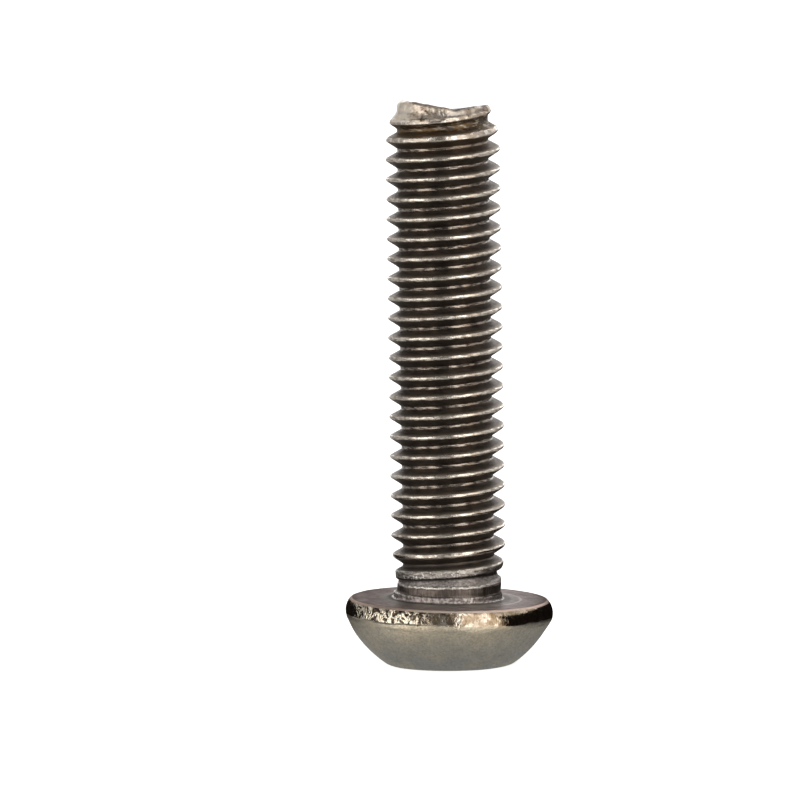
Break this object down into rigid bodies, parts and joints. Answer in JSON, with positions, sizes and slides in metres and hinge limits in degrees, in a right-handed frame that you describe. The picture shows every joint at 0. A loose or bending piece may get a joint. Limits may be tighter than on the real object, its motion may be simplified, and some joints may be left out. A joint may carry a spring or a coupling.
{
  "type": "button head socket screw",
  "caption": "Metric M6 x 25 mm machine screw with a low domed button head, hexagon socket and a rolled right-hand thread almost to the head.",
  "frame": {"origin": "centre of the flat bearing face under the head, on the screw's axis", "axes": "+Z along the shank from the head to the tip; X across the flats of the hexagon socket"},
  "size_m": [0.0104, 0.0104, 0.0285],
  "materials": {
    "steel": "plain rolled steel, satin on the head and glossy in the thread"
  },
  "bodies": {
    "root": {"screw": "steel"}
  },
  "joints": []
}
